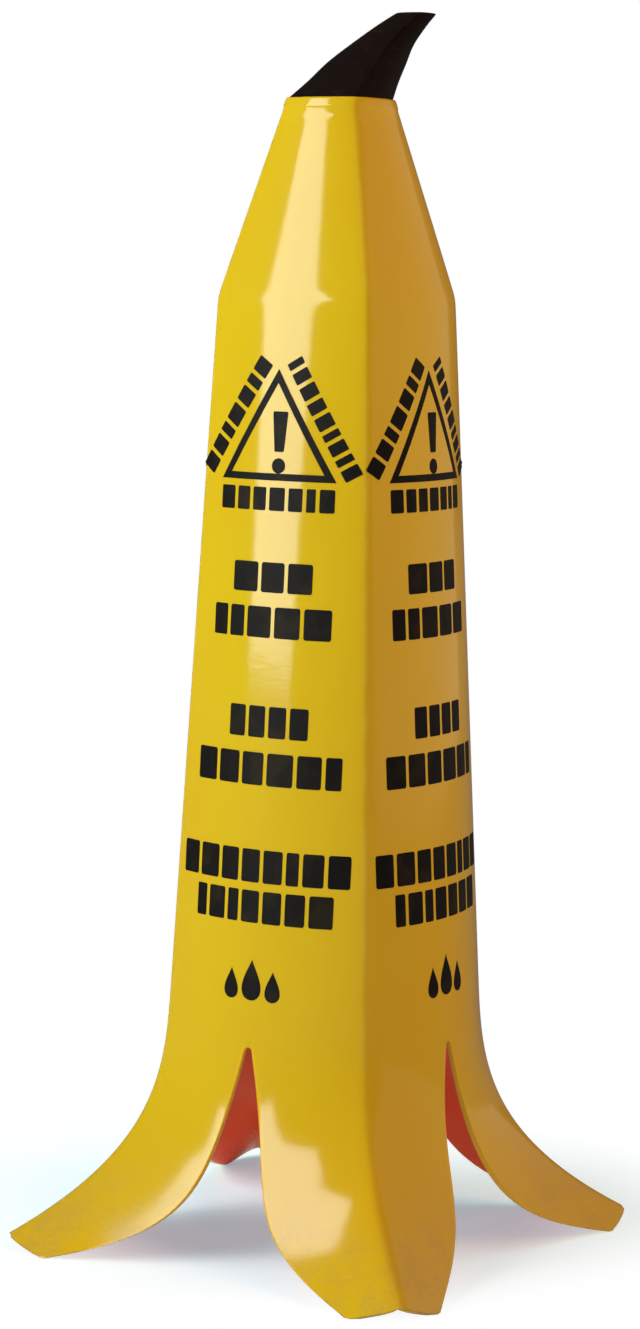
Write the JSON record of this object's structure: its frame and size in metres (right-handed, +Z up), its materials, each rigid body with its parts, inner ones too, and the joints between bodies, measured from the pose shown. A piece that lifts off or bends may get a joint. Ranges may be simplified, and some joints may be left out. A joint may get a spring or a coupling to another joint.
{
  "type": "wet floor sign",
  "caption": "Hollow free-standing wet floor cone shaped like an upside-down peeled banana, split at the foot into outward-curling peels, with a curved stem on top.",
  "frame": {"origin": "on the floor, on the axis of the cone, in the middle of its foot", "axes": "+Z up along the cone's axis; its faces look along +X, -X, +Y and -Y, its ridges and peels lie on the diagonals, and the stem leans to +X +Y"},
  "size_m": [0.2394, 0.2394, 0.6083],
  "materials": {
    "shell_plastic": "smooth injection-moulded yellow polyethylene, semi-gloss outside, deeper orange-red inside",
    "stem_plastic": "satin black moulded plastic",
    "fixing_steel": "bright zinc-plated steel",
    "print_ink": "black screen-printed ink, flat"
  },
  "bodies": {
    "root": {"cone_shell": "shell_plastic", "stem": "stem_plastic", "stem_washer": "fixing_steel", "stem_screw": "fixing_steel"}
  },
  "joints": []
}
